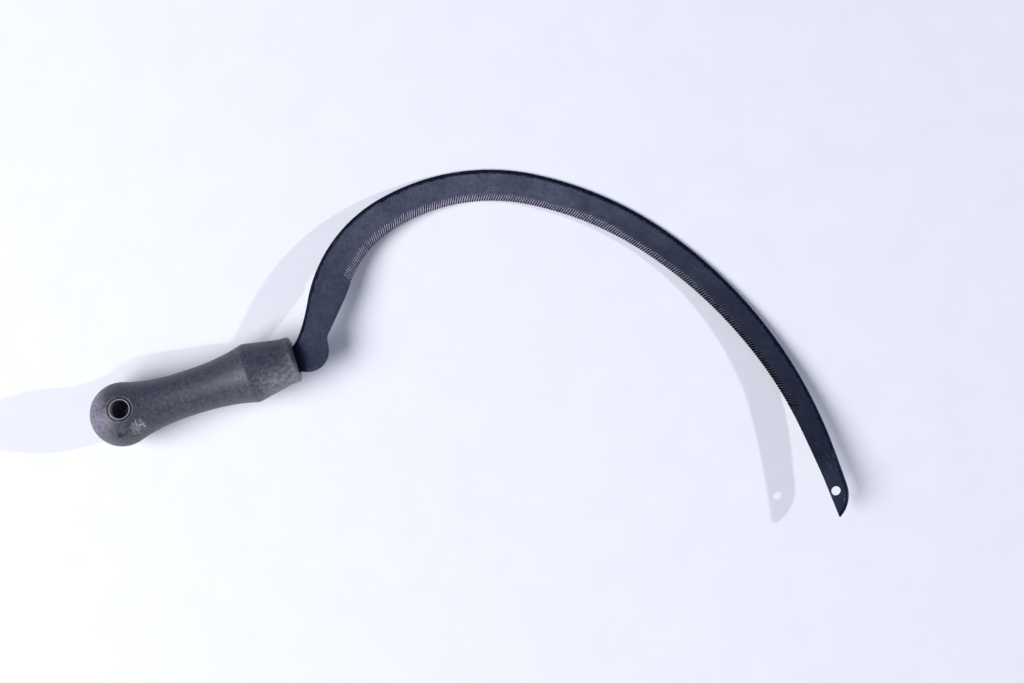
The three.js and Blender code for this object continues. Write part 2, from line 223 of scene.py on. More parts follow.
# Places on the handle, from the centre of its ball end.
# The paler lower side is partly painted light, and the cone, the ball end and the nose carry painted
# highlights.
LOWER_SIDE_RUN = (-1, -14)
CONE_HIGHLIGHT_RUN = (FACE - 28, FACE - 12)
CONE_HIGHLIGHT_SIDE = (0, -8)
BALL_HIGHLIGHT_RUN = (-9.5, -1)
BALL_HIGHLIGHT_SIDE = (-12, -3)
NOSE_HIGHLIGHT_SIDE = (4, -9)
SCUFF = ball_centre + Vector((8.8, -9.3, 12)) * MM
SCUFF_RADII = (2, 6.2)
STAIN = ball_centre + Vector((-1.4, -11.2, 13.5)) * MM
STAIN_RADII = (0.8, 2.6)

# Distances from the hanging hole's axis and from the front face.
RING_BAND = (5.0, 5.1, 5.55, 5.7)
GROOVE_BAND = (5.6, 5.75, 6.2, 6.4)
RIM_BAND = (6.4, 6.7, 7.0, 7.6)
NOSE_BAND = (0.3, 1.0, 1.6, 3.2)
HOLE_WALL = (4.95, 5.1)

# The rim's painted highlight is faintest on the side that this direction points to.
RIM_HIGHLIGHT_HEADING = (0.89, 0.46)
RIM_HIGHLIGHT_RUN = (-6, 3)

FRESH_LACQUER = (0.08, 0.09, 0.13)
# Paler lacquer, for the worn band near the point and for the middle of the blade, where it is partly
# painted sheen.
PALE_LACQUER = (0.21, 0.226, 0.3)
LACQUER_BLOTCH = (0.03, 0.034, 0.055)
DARK_SPINE = (0.01, 0.016, 0.045)
# Painted shade beside the collar.
PAINTED_COLLAR_SHADE = (0.004, 0.006, 0.012)
BARE_STEEL = (0.4, 0.41, 0.5)
# Painted highlight on one flank of each groove, then painted shade in the grooves.
LIT_FLANK_STEEL = (0.42, 0.4, 0.52)
PAINTED_GROOVE_SHADE = (0.008, 0.007, 0.014)

GREEN_CHARCOAL = (0.046, 0.05, 0.065)
LILAC_CHARCOAL = (0.052, 0.049, 0.075)
# A paler lower side, partly painted light, then painted highlights on the cone and the ball end.
PALER_LOWER_SIDE = (0.1, 0.105, 0.115)
CONE_HIGHLIGHT = (0.25, 0.255, 0.27)
BALL_HIGHLIGHT = (0.22, 0.205, 0.265)
DARK_MOTTLE = (0.024, 0.024, 0.036)
PALE_GRAIN = (0.17, 0.17, 0.2)
# Painted highlight on the nose and on the rim of the hanging hole.
EDGE_HIGHLIGHT = (0.24, 0.23, 0.27)
POLISHED_RING = (0.36, 0.32, 0.35)
# Painted shade in the groove round the hole's mouth and on the hole's wall.
MOUTH_GROOVE_SHADE = (0.008, 0.008, 0.014)
HOLE_WALL_SHADE = (0.02, 0.02, 0.026)
SCUFFED_PATCH = (0.26, 0.29, 0.3)
SCUFF_STROKE = (0.62, 0.68, 0.69)
STAIN_COLOUR = (0.01, 0.01, 0.02)

# --- camera, lights and floor ---------------------------------------------------------------

CAMERA_PLACE = (215.05, -27.26)
CAMERA_HEIGHT = 950
CAMERA_ROLL = -17.81
CAMERA_LENS = 59.88
SENSOR_WIDTH = 36
CLIP_START = 10

WORLD_COLOUR = (0.4, 0.55, 1.0, 1)
WORLD_STRENGTH = 0.18
FLOOR_HALF = 4000
FLOOR_DROP = 0.2
FLOOR_COLOURS = ((0.85, 0.85, 0.885), (0.87, 0.87, 0.905))

SEED = 371
random = np.random.default_rng(SEED)


# --- curves ---------------------------------------------------------------------------------


def smooth(value, low, high):
    """0 below low, 1 above high, and an easy rise between them."""
    t = np.clip((value - low) / (high - low), 0, 1)
    return t * t * (3 - 2 * t)


def towards(heading, length):
    """A step in plan in a direction given in radians."""
    return length * np.array((math.cos(heading), math.sin(heading)))


def bezier(points, count):
    """Points along a Bezier curve of any order."""
    t = np.linspace(0, 1, count)[:, None]
    layers = [np.array(p, float) for p in points]
    while len(layers) > 1:
        layers = [a * (1 - t) + b * t for a, b in zip(layers, layers[1:])]
    return layers[0]


def arc(centre, radius, degrees, count):
    """Points along an arc of a circle."""
    angles = np.radians(np.linspace(*degrees, count))
    return np.array(centre) + radius * np.stack((np.cos(angles), np.sin(angles)), axis=1)


def lengths_along(points):
    """Distance of each point of a polyline from its start."""
    steps = np.linalg.norm(np.diff(points, axis=0), axis=1)
    return np.concatenate(([0], np.cumsum(steps)))


def at_lengths(points, lengths):
    """Points of a polyline at distances from its start."""
    known = lengths_along(points)
    return np.stack([np.interp(lengths, known, points[:, k]) for k in range(points.shape[1])], axis=1)


class ArcChain:
    """Arcs that join without a corner and turn clockwise."""

    def __init__(self, place, heading, arcs):
        self.radii = np.array([radius for radius, _ in arcs], float)
        self.starts = np.concatenate(([0], np.cumsum([length for _, length in arcs])[:-1]))
        places = [(*place, heading)]
        for radius, length in arcs:
            places.append(self.moved(*places[-1], radius, length))
        self.places = np.array(places)

    @staticmethod
    def moved(x, y, heading, radius, run):
        end = heading - run / radius
        x = x - radius * (np.sin(end) - np.sin(heading))
        y = y + radius * (np.cos(end) - np.cos(heading))
        return x, y, end

    def at(self, distance):
        """Places and headings at distances along the chain."""
        i = np.clip(np.searchsorted(self.starts, distance, side="right") - 1, 0, len(self.radii) - 1)
        x, y, heading = self.places[i].T
        x, y, heading = self.moved(x, y, heading, self.radii[i], distance - self.starts[i])
        return np.stack((x, y), axis=1), heading


# --- the blade in plan ----------------------------------------------------------------------


class BladePlan:
    """The back and the inner edge of the sheet at a station, which counts millimetres along the back.

    Stations under TEETH_START are the heel, and those under heel_start are the tang."""

    def __init__(self):
        self.back = ArcChain(BACK_START, BACK_HEADING, BACK_ARCS + (POINT_ARC,))
        self.heel_start = TEETH_START - HEEL_RUN
        self.tang_start = self.heel_start - TANG_LENGTH
        self.end = BACK_LENGTH + POINT_ARC[1]
        self.inner_start = self.blade_inner(np.array([BACK_LENGTH]))[0]
        tip, heading = self.back.at(np.array([self.end]))
        self.inner_end = tip[0] + POINT_WIDTH * np.array((math.sin(heading[0]), -math.cos(heading[0])))
        self.heel_back = self.make_heel_back()
        self.heel_front = self.make_heel_front()
        self.tang_halves = self.make_tang_halves()

    def blade_inner(self, station):
        place, heading = self.back.at(station)
        inwards = np.stack((np.sin(heading), -np.cos(heading)), axis=1)
        return place + inwards * self.full_width(station)[:, None]

    @staticmethod
    def full_width(station):
        """A smooth curve through WIDTHS."""
        shares, widths = np.array(WIDTHS, float).T
        share = np.clip(station / BACK_LENGTH, 0, 1)
        i = np.clip(np.searchsorted(shares, share) - 1, 0, len(shares) - 2)
        t = (share - shares[i]) / (shares[i + 1] - shares[i])
        padded = np.concatenate((widths[:1], widths, widths[-1:]))
        before, start, end, after = padded[i], padded[i + 1], padded[i + 2], padded[i + 3]
        leave, arrive = (end - before) / 2, (after - start) / 2
        cubic = (2 * (start - end) + leave + arrive) * t**3
        return cubic + (3 * (end - start) - 2 * leave - arrive) * t**2 + leave * t + start

    def make_heel_back(self):
        start = np.array((FACE, TANG_OFFSET + TANG_WIDTH / 2))
        end = np.array(BACK_START)
        heading, pull = HEEL_BACK_LEAVES
        leaving = start + towards(math.radians(heading), pull)
        arriving = end - towards(BACK_HEADING, HEEL_BACK_ARRIVES)
        run_on, _ = self.back.at(np.linspace(0, TEETH_START, 24)[1:])
        return np.concatenate((bezier((start, leaving, arriving, end), 60), run_on))

    def make_heel_front(self):
        lobe = arc(HEEL_LOBE, HEEL_LOBE_RADIUS, HEEL_LOBE_ANGLES, 90)
        notch = bezier((lobe[-1], HEEL_NOTCH_BEND, HEEL_NOTCH), 12)[1:]
        corners = [HEEL_STEP, self.blade_inner(np.array([TEETH_START]))[0]]
        return np.concatenate(([(FACE, TANG_OFFSET - TANG_WIDTH / 2)], lobe, notch, corners))

    @staticmethod
    def make_tang_halves():
        """Half-widths of the tang at stations that count from its end."""
        run = (TANG_LENGTH - TANG_BARE_LENGTH) / BARB_COUNT
        halves = []
        for i in range(BARB_COUNT):
            barb = TANG_WIDTH / 2 - BARB_TAPER * (BARB_COUNT - i)
            halves += [(i * run, barb - BARB_HEIGHT), (i * run + run * BARB_SLOPE_SHARE, barb)]
        halves += [(TANG_LENGTH - TANG_BARE_LENGTH, TANG_WIDTH / 2), (TANG_LENGTH, TANG_WIDTH / 2)]
        return np.array(halves)

    def sides(self, station):
        """The back and the inner edge at stations anywhere on the sheet."""
        station = np.asarray(station, float)
        on_blade = np.clip(station, TEETH_START, self.end)
        outer, _ = self.back.at(on_blade)
        inner = self.blade_inner(np.minimum(on_blade, BACK_LENGTH))
        past = np.clip((station - BACK_LENGTH) / POINT_ARC[1], 0, 1)[:, None]
        inner = np.where(past > 0, self.inner_start * (1 - past) + self.inner_end * past, inner)

        heel = (station < TEETH_START)[:, None]
        share = np.clip((station - self.heel_start) / HEEL_RUN, 0, 1)
        heel_outer = at_lengths(self.heel_back, share * lengths_along(self.heel_back)[-1])
        heel_inner = at_lengths(self.heel_front, share * lengths_along(self.heel_front)[-1])
        outer, inner = np.where(heel, heel_outer, outer), np.where(heel, heel_inner, inner)

        tang = (station < self.heel_start)[:, None]
        from_end = station - self.tang_start
        half = np.interp(from_end, *self.tang_halves.T)
        x = FACE - TANG_LENGTH + from_end
        outer = np.where(tang, np.stack((x, TANG_OFFSET + half), axis=1), outer)
        inner = np.where(tang, np.stack((x, TANG_OFFSET - half), axis=1), inner)
        return outer, inner


# --- how the blade lies ---------------------------------------------------------------------


class Bow:
    """The sheet touches the bench behind its belly, and its two ends rise from there."""

    def __init__(self, plan):
        heading = math.radians(BOW_LINES_HEADING) - math.pi / 2
        self.across = towards(heading, 1)
        outer, _ = plan.sides(np.linspace(plan.tang_start, plan.end, 900))
        self.touch = self.distance(outer).min()
        run = self.distance(np.array([(FACE, 0)]))[0] - self.touch
        rise = BALL_RADIUS - BLADE_THICKNESS / 2
        self.slope = (run - math.sqrt(run**2 - 2 * BOW_RADIUS * rise)) / BOW_RADIUS
        self.handle_roll = math.atan(self.slope * self.across[1])

    def distance(self, plan_points):
        ahead = np.maximum(0, plan_points[:, 0] - FACE)
        run = np.where(ahead < HEEL_BEND, ahead**2 / (2 * HEEL_BEND), ahead - HEEL_BEND / 2)
        return self.across[0] * (FACE + run) + self.across[1] * plan_points[:, 1]

    def height(self, plan_points):
        """Height of the sheet's middle above the bench."""
        run = self.distance(plan_points) - self.touch
        curved = BOW_RADIUS * self.slope
        rise = np.where(run < curved, run**2 / (2 * BOW_RADIUS), self.slope * (run - curved / 2))
        return BLADE_THICKNESS / 2 + rise


# --- meshes ---------------------------------------------------------------------------------


def in_frame(points):
    """Design points, which count from the ball end's centre, as metres in the frame."""
    return points * MM + np.array(ball_centre)


def make_object(name, points, faces, sharp_degrees=35):
    mesh = bpy.data.meshes.new(name)
    mesh.from_pydata(points.tolist(), [], faces)
    mesh.update()
    piece = bpy.data.objects.new(name, mesh)
    bpy.context.scene.collection.objects.link(piece)
    shade(piece, sharp_degrees)
    return piece


def shade(piece, sharp_degrees):
    """Smooth shading that breaks at edges sharper than an angle."""
    piece.data.shade_smooth()
    piece.data.set_sharp_from_angle(angle=math.radians(sharp_degrees))


def tube_faces(rings, size):
    """Quads round a row of closed rings, with a cap at each end."""
    ring, k = np.meshgrid(np.arange(rings - 1), np.arange(size), indexing="ij")
    a, b = ring * size + k, ring * size + (k + 1) % size
    quads = np.stack((a, b, b + size, a + size), axis=-1).reshape(-1, 4).tolist()
    last = (rings - 1) * size
    return quads + [list(range(size))[::-1], list(range(last, last + size))]


def lathe_points(profile, angles):
    """Rings round the X axis from (x, radius) pairs."""
    x = np.repeat(profile[:, :1], len(angles), axis=1)
    y = profile[:, 1:] * np.cos(angles)
    z = profile[:, 1:] * np.sin(angles)
    return np.stack((x, y, z), axis=-1).reshape(-1, 3)


def cut(piece, cutter):
    """Takes the cutter's solid out of the piece."""
    modifier = piece.modifiers.new("cut", "BOOLEAN")
    modifier.operation = "DIFFERENCE"
    modifier.solver = "EXACT"
    modifier.object = cutter
    evaluated = piece.evaluated_get(bpy.context.evaluated_depsgraph_get())
    mesh = bpy.data.meshes.new_from_object(evaluated)
    piece.modifiers.clear()
    old = piece.data
    piece.data = mesh
    bpy.data.meshes.remove(old)
    spent = cutter.data
    bpy.data.objects.remove(cutter)
    bpy.data.meshes.remove(spent)


# --- the blade's mesh -----------------------------------------------------------------------

plan = BladePlan()
bow = Bow(plan)

# Where each vertex lies on the sheet, the filed facet that it is on, and how deep it is in a groove.
COORDINATES = ("along", "from_edge", "from_back", "facet", "in_groove")


class ToothColumns:
    """Stations of the columns that cross the teeth, with the groove at each of them."""

    def __init__(self):
        fine = np.linspace(TEETH_START, TEETH_END, 4000)
        inner = plan.blade_inner(fine)
        edge = lengths_along(inner)
        self.edge_per_station = (fine, np.gradient(edge, fine))
        stations, depths, lengths, facets = [], [], [], []
        start = 0.0
        while start < edge[-1]:
            share = start / edge[-1]
            pitch = np.interp(share, (0, 1), PITCHES)
            bold = 1 + GROOVE_VARIATION * random.standard_normal()
            length = np.interp(share, *np.array(GROOVE_LENGTHS).T)
            length *= 1 + GROOVE_VARIATION * random.standard_normal()
            for phase, facet in zip(GROOVE_PHASES, GROOVE_FACETS):
                stations.append(np.interp(start + phase * pitch, edge, fine))
                off = abs(phase - GROOVE_BOTTOM_PHASE) / GROOVE_HALF_PHASE
                depths.append(GROOVE_DEPTH * bold * max(0, 1 - off))
                lengths.append(length)
                facets.append(facet)
            start += pitch
        self.stations, self.depths = np.array(stations), np.array(depths)
        self.lengths, self.facets = np.array(lengths), np.array(facets)

    def lean(self, station):
        """How far a groove's line moves along the station scale for each millimetre from the edge."""
        share = (station - TEETH_START) / (TEETH_END - TEETH_START)
        lean = np.tan(np.radians(np.interp(share, *np.array(GROOVE_LEANS).T)))
        near = smooth(station, TEETH_START - LEAN_FADE, TEETH_START)
        near *= 1 - smooth(station, TEETH_END, TEETH_END + LEAN_FADE)
        return near * lean / np.interp(station, *self.edge_per_station)


def columns():
    """Every column of the blade's mesh: its station, and its groove's depth, length, lean and facet."""
    teeth = ToothColumns()
    tang = plan.tang_start + plan.tang_halves[:-1, 0]
    heel = np.linspace(plan.heel_start - 1, TEETH_START, 130)[:-1]
    fore = np.linspace(TEETH_END, BACK_LENGTH, 60)[1:]
    point = BACK_LENGTH + POINT_ARC[1] * np.linspace(0, 1, 26)[1:]
    before, after = np.concatenate((tang, heel)), np.concatenate((fore, point))
    station = np.concatenate((before, teeth.stations, after))
    depth = np.concatenate((before * 0, teeth.depths, after * 0))
    ends = (GROOVE_LENGTHS[0][1], GROOVE_LENGTHS[-1][1])
    length = np.concatenate((before * 0 + ends[0], teeth.lengths, after * 0 + ends[1]))
    facet = np.concatenate((before * 0, teeth.facets, after * 0))
    return station, depth, length, teeth.lean(station), facet


def groove_reach(length, width):
    """How far a groove runs in from the edge, within its share of the blade's width."""
    return np.minimum(length, GROOVE_SHARE * width)


def section_rows(station, depth, length, width):
    """The rows round the sheet: distances from the inner edge, and heights from its middle."""
    top = BLADE_THICKNESS / 2
    ground = smooth(station, TEETH_START + GRIND_FADE[0], TEETH_START + GRIND_FADE[1])
    edge = BLADE_THICKNESS + (EDGE_THICKNESS - BLADE_THICKNESS) * ground
    edge += POINT_EDGE_GAIN * smooth(station, BACK_LENGTH, plan.end)
    bevel = smooth(station, plan.heel_start + BEVEL_START, TEETH_START)
    bevel_width = np.minimum(BEVEL_WIDTH, BEVEL_SHARE * width)
    grind = np.minimum(GRIND_WIDTH, GRIND_SHARE * width)
    zone = groove_reach(length, width)
    fall = (BLADE_THICKNESS - edge) / grind
    spare = EDGE_LEFT_IN_GROOVE - edge + depth
    start = np.where(depth > 0, np.maximum(0, spare / (fall + GROOVE_FALL * depth / zone)), 0)
    rounding = np.minimum(EDGE_ROUNDING, EDGE_ROUNDING_SHARE * edge) * np.where(depth > 0, 0.5, 1)

    def upper(w):
        groove = depth * np.clip(1 - w / zone, 0, 1) ** (1 / GROOVE_FALL)
        from_back = width - w
        slope = np.clip((bevel_width - from_back) / bevel_width, 0, 1)
        return top - groove - BEVEL_DROP * bevel * slope

    def lower(w):
        return -top + fall * np.clip(grind - w, 0, None)

    rows = []

    def add(w, z):
        rows.append((w, z))

    add(start, upper(start) - rounding)
    add(start + MID_ROUNDING * rounding, upper(start) - MID_ROUNDING * rounding)
    for share in GROOVE_ROWS:
        w = start + rounding + (zone - start - rounding) * share
        add(w, upper(w))
    plain_end = width - bevel_width
    for share in PLAIN_ROWS:
        w = zone + (plain_end - zone) * share
        add(w, upper(w))
    add(plain_end - CREASE_ROUNDING / 2, upper(plain_end) - CREASE_DROP * bevel)
    for w in (plain_end + CREASE_ROUNDING, plain_end + 0.6 * bevel_width):
        add(w, upper(w))
    back_top = top - BEVEL_DROP * bevel
    eased = MID_ROUNDING * EDGE_ROUNDING
    add(width - EDGE_ROUNDING, upper(width - EDGE_ROUNDING))
    add(width - eased, back_top - eased)
    add(width, back_top - EDGE_ROUNDING)
    add(width, EDGE_ROUNDING - top + width * 0)
    add(width - eased, eased - top + width * 0)
    add(width - EDGE_ROUNDING, lower(width - EDGE_ROUNDING))
    for share in UNDERSIDE_ROWS:
        w = width + (grind - width) * share
        add(w, lower(w))
    for share in GRIND_ROWS:
        w = np.maximum(start + rounding, grind * share)
        add(w, lower(w))
    low_rounding = np.minimum(rounding, EDGE_ROUNDING_SHARE * edge)
    add(start + low_rounding, lower(start + low_rounding))
    add(start, np.minimum(lower(start) + low_rounding, upper(start) - rounding - EDGE_FACE_LEFT))
    return np.array([w for w, _ in rows]).T, np.array([z for _, z in rows]).T


def make_blade():
    """The sheet, lofted along its stations. Near its edge the columns lean with the grooves."""
    station, depth, length, lean, facet = columns()
    outer, inner = plan.sides(station)
    width = np.linalg.norm(outer - inner, axis=1)
    from_edge, height = section_rows(station, depth, length, width)
    zone = groove_reach(length, width)[:, None]
    in_groove = np.clip(1 - from_edge / zone, 0, 1)
    in_groove *= ((station >= TEETH_START) & (station <= TEETH_END))[:, None]
    count, size = from_edge.shape
    reach = np.minimum(from_edge, LEAN_REACH * zone)
    moved = (station[:, None] + lean[:, None] * reach).ravel()
    outer, inner = plan.sides(moved)
    span = outer - inner
    there = np.linalg.norm(span, axis=1)
    share = np.clip(from_edge.ravel() * np.repeat(1 / width, size), 0, 1)
    leaning = from_edge.ravel() < LEANING_SHARE * there
    share = np.where(leaning, from_edge.ravel() / there, share)
    place = inner + span * share[:, None]
    z = height.ravel() + bow.height(place)
    points = np.column_stack((place, z - BALL_RADIUS))
    blade = make_object("blade_sheet", in_frame(points), tube_faces(count, size))
    filed = np.repeat(facet, size) * (height.ravel() > 0)
    measures = (moved, from_edge.ravel(), there * (1 - share), filed, in_groove.ravel())
    for name, values in zip(COORDINATES, measures):
        lay_measure(blade, name, values)
    known = blade.data.copy()
    cut(blade, point_hole_cutter())
    carry_coordinates(known, blade)
    shade(blade, 35)
    return blade


def lay_measure(piece, name, values):
    """Keeps a measure of each vertex, such as its place along the sheet, for the shaders."""
    stale = piece.data.attributes.get(name)
    if stale:
        piece.data.attributes.remove(stale)
    layer = piece.data.attributes.new(name, "FLOAT", "POINT")
    layer.data.foreach_set("value", values.astype(np.float32))


def carry_coordinates(known, piece):
    """Gives the vertices that a cut made the coordinates of their nearest old neighbour."""
    tree = KDTree(len(known.vertices))
    for vertex in known.vertices:
        tree.insert(vertex.co, vertex.index)
    tree.balance()
    nearest = [tree.find(vertex.co)[1] for vertex in piece.data.vertices]
    for name in COORDINATES:
        old = np.zeros(len(known.vertices), np.float32)
        known.attributes[name].data.foreach_get("value", old)
        lay_measure(piece, name, old[nearest])


def point_hole_cutter():
    """A drill with a countersink for each face."""
    outer, inner = plan.sides(np.array([BACK_LENGTH]))
    inwards = (inner[0] - outer[0]) / np.linalg.norm(inner[0] - outer[0])
    onwards = np.array((-inwards[1], inwards[0]))
    centre = outer[0] + POINT_HOLE_FROM_BACK * inwards + POINT_HOLE_PAST_BACK * onwards
    face = BLADE_THICKNESS / 2
    wide = POINT_HOLE_RADIUS + POINT_HOLE_CHAMFER + POINT_HOLE_OVERCUT
    profile = np.array((
        (-face - POINT_HOLE_OVERCUT, wide),
        (POINT_HOLE_CHAMFER - face, POINT_HOLE_RADIUS),
        (face - POINT_HOLE_CHAMFER, POINT_HOLE_RADIUS),
        (face + POINT_HOLE_OVERCUT, wide),
    ))
    points = lathe_points(profile, np.linspace(0, 2 * math.pi, POINT_HOLE_SIDES, endpoint=False))
    upright = points[:, [1, 2, 0]]
    height = bow.height(centre[None])[0] - BALL_RADIUS
    placed = in_frame(upright + np.array((*centre, height)))
    return make_object("point_hole_cutter", placed, tube_faces(len(profile), POINT_HOLE_SIDES))


# --- the handle's mesh ----------------------------------------------------------------------


def handle_profile():
    """(x, radius) pairs from the ball end to the edge of the front face, close together."""
    ball_end = math.radians(BALL_END_ANGLE)
    leave = towards(ball_end, BALL_RADIUS)
    ball = arc((0, 0), BALL_RADIUS, (179.5, BALL_END_ANGLE), 120)
    waist, shoulder = np.array(WAIST), np.array(SHOULDER)
    fall = (waist[0] - leave[0]) / 3
    falling = leave + (fall, -fall / math.tan(ball_end))
    swell = bezier((leave, falling, waist - (fall, 0), waist), 60)[1:]
    rise = (shoulder[0] - waist[0]) / 3
    bent = shoulder - (rise, rise * SHOULDER_SLOPE)
    grip = bezier((waist, waist + (rise, 0), bent, shoulder), 60)[1:]
    cone = np.linspace(shoulder, CONE_END, 50)[1:]
    lip = bezier((CONE_END, (CONE_END[0] + LIP_PULL, CONE_END[1]), LIP_END), 8)[1:]
    nose_controls = (
        LIP_END,
        (FACE - NOSE_PULLS[0], LIP_END[1]),
        (FACE - FACE_INSET, FACE_RADIUS + NOSE_PULLS[1]),
        (FACE - FACE_INSET, FACE_RADIUS),
    )
    outline = np.concatenate((ball, swell, grip, cone, lip, bezier(nose_controls, 24)[1:]))
    length = lengths_along(outline)[-1]
    return round_off(at_lengths(outline, np.linspace(0, length, round(length / PROFILE_STEP))))


def round_off(profile):
    """Eases the crease at the shoulder."""
    near = np.exp(-(((profile[:, 0] - SHOULDER[0]) / SHOULDER_ROUNDING) ** 2))
    eased = profile.copy()
    eased[:, 1] -= SHOULDER_EASING * near
    return eased


def handle_angles():
    """Angles round the handle, closer together at the two parting lines."""
    even = np.linspace(0, 2 * math.pi, HANDLE_SIDES, endpoint=False)
    close = np.radians(np.array(PARTING_ANGLES))
    return np.unique(np.round(np.concatenate((even, close % (2 * math.pi), close + math.pi)), 9))


def make_handle():
    """The turned moulding with its faint parting ridge, its hanging hole and the tang's slot."""
    profile = handle_profile()
    angles = handle_angles()
    points = lathe_points(profile, angles)
    off_parting = np.tile(np.sin(angles), len(profile)) * np.repeat(profile[:, 1], len(angles))
    ridge = PARTING_RIDGE * np.exp(-((off_parting / PARTING_WIDTH) ** 2))
    outwards = np.tile(np.column_stack((angles * 0, np.cos(angles), np.sin(angles))), (len(profile), 1))
    points += ridge[:, None] * outwards
    face_x = FACE - FACE_INSET
    front = [(face_x + FACE_DISHING * (1 - (r / FACE_RADIUS) ** 2), r) for r in FACE_RINGS]
    points = np.concatenate((points, lathe_points(np.array(front), angles)))
    rings = len(profile) + len(front)
    handle = make_object("handle_moulding", points * MM, tube_faces(rings, len(angles)))
    cut(handle, hang_hole_cutter(profile))
    cut(handle, slot_cutter())
    lay_handle_measures(handle)
    lie = Matrix.Translation(ball_centre) @ Matrix.Rotation(bow.handle_roll, 4, "X")
    handle.data.transform(lie)
    shade(handle, 32)
    return handle


def lay_handle_measures(handle):
    """Keeps each vertex's distance from the hole's axis and from the front face, in millimetres."""
    places = np.zeros(3 * len(handle.data.vertices), np.float32)
    handle.data.vertices.foreach_get("co", places)
    x, y, _ = places.reshape(-1, 3).T / MM
    lay_measure(handle, "from_hole", np.hypot(x - HANG_HOLE_X, y - HANG_HOLE_Y))
    lay_measure(handle, "from_face", FACE - x)


def mouth_height(profile, plan_points):
    """Height of the handle's skin over points of the plane through its axis."""
    radius = np.interp(plan_points[:, 0], *profile.T)
    return np.sqrt(np.maximum(radius**2 - plan_points[:, 1] ** 2, 0))


def hang_hole_cutter(profile):
    """The hole with a ring round each mouth, in a shallow groove with a rounded rim."""
    angles = np.linspace(0, 2 * math.pi, HANG_HOLE_SIDES, endpoint=False)
    around = np.column_stack((np.cos(angles), np.sin(angles)))
    middle = np.array((HANG_HOLE_X, HANG_HOLE_Y))

    def ring(radius, drop, level=None):
        places = middle + around * radius
        skin = mouth_height(profile, places) if level is None else level
        return np.column_stack((places, np.zeros(len(angles)) + skin - drop))

    level = mouth_height(profile, middle + around * MOUTH_RING_RADIUS)
    rings = [ring(HANG_HOLE_RADIUS, HOLE_OVERCUT, level)]
    crest = MOUTH_RING_DROP + MOUTH_RING_ROUNDING
    for degrees in (180, 150, 120, 90, 60, 30, 0):
        turn = math.radians(degrees)
        radius = HANG_HOLE_RADIUS + MOUTH_RING_ROUNDING * (1 + math.cos(turn))
        rings.append(ring(radius, crest - MOUTH_RING_ROUNDING * math.sin(turn), level))
    bottom = MOUTH_GROOVE_DEPTH
    rings.append(ring(HANG_HOLE_RADIUS + 2 * MOUTH_RING_ROUNDING + RING_WALL_LEAN, bottom, level))
    rings.append(ring(MOUTH_GROOVE_RADIUS, bottom))
    for degrees in (180, 160, 140, 120, 100):
        turn = math.radians(degrees)
        radius = MOUTH_RADIUS + MOUTH_ROUNDING * (1 + math.cos(turn))
        rings.append(ring(radius, MOUTH_ROUNDING * (1 - math.sin(turn))))
    for rise in MOUTH_OVERCUT_RISES:
        rings.append(ring(MOUTH_RADIUS + MOUTH_ROUNDING + MOUTH_OVERCUT, -rise))
    upper = np.array(rings)
    lower = upper[::-1] * (1, 1, -1)
    points = np.concatenate((lower, upper)).reshape(-1, 3) * MM
    return make_object("hang_hole_cutter", points, tube_faces(2 * len(rings), HANG_HOLE_SIDES))


def slot_cutter():
    """The slot for the tang."""
    half = (TANG_WIDTH / 2 + SLOT_CLEARANCE, BLADE_THICKNESS / 2 + SLOT_CLEARANCE)
    section = [(-half[0], -half[1]), (half[0], -half[1]), (half[0], half[1]), (-half[0], half[1])]
    ends = (FACE - TANG_LENGTH - SLOT_CLEARANCE, FACE + SLOT_OVERCUT)
    points = np.array([(x, y + TANG_OFFSET, z) for x in ends for y, z in section])
    return make_object("slot_cutter", points * MM, tube_faces(2, len(section)))


# --- materials ------------------------------------------------------------------------------


